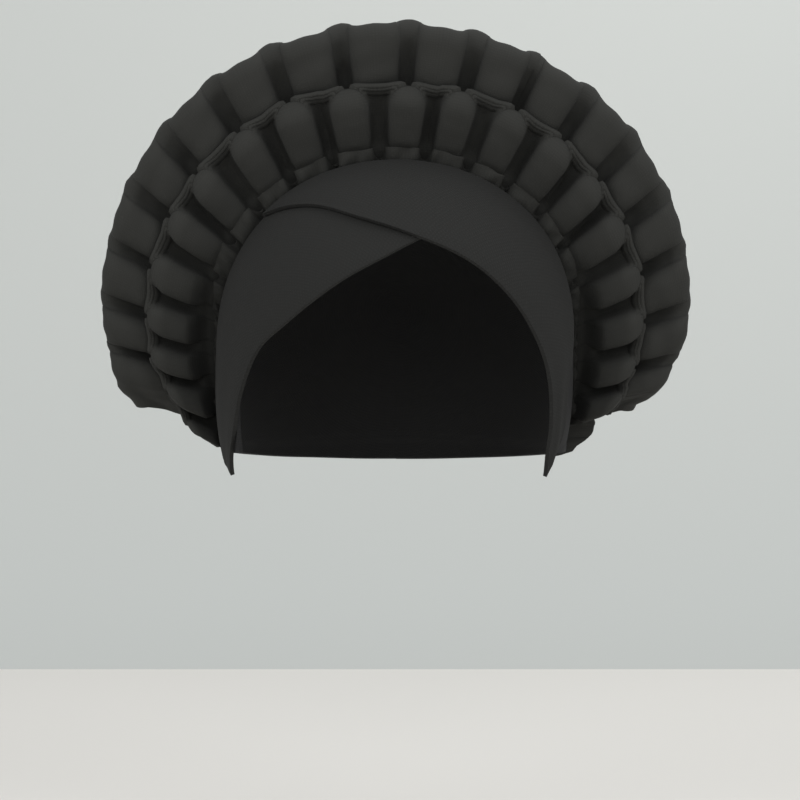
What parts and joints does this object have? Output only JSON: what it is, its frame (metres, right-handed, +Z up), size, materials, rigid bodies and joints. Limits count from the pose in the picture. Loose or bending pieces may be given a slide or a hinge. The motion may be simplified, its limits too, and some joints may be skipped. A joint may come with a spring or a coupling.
{
  "type": "tied gele head tie",
  "caption": "Ready-tied head tie: a fitted open crown, bands crossed on the forehead and tiers of box-pleated ruffle standing round it as a fan from ear to ear.",
  "frame": {"origin": "inside top of the crown, where the top of a head bears", "axes": "+X to the viewer's right across the fan, +Y to the back, +Z up; the front of the head tie faces -Y"},
  "size_m": [0.2827, 0.1883, 0.2071],
  "materials": {
    "crown_cloth": "matte black stretch knit",
    "band_cloth": "matte black knit with a fine diagonal rib",
    "ruffle_cloth": "smooth matte black scuba knit"
  },
  "bodies": {
    "root": {"crown": "crown_cloth", "under_band": "band_cloth", "over_band": "band_cloth", "inner_ruffle": "ruffle_cloth", "outer_ruffle": "ruffle_cloth", "ruffle_heading": "ruffle_cloth"}
  },
  "joints": []
}
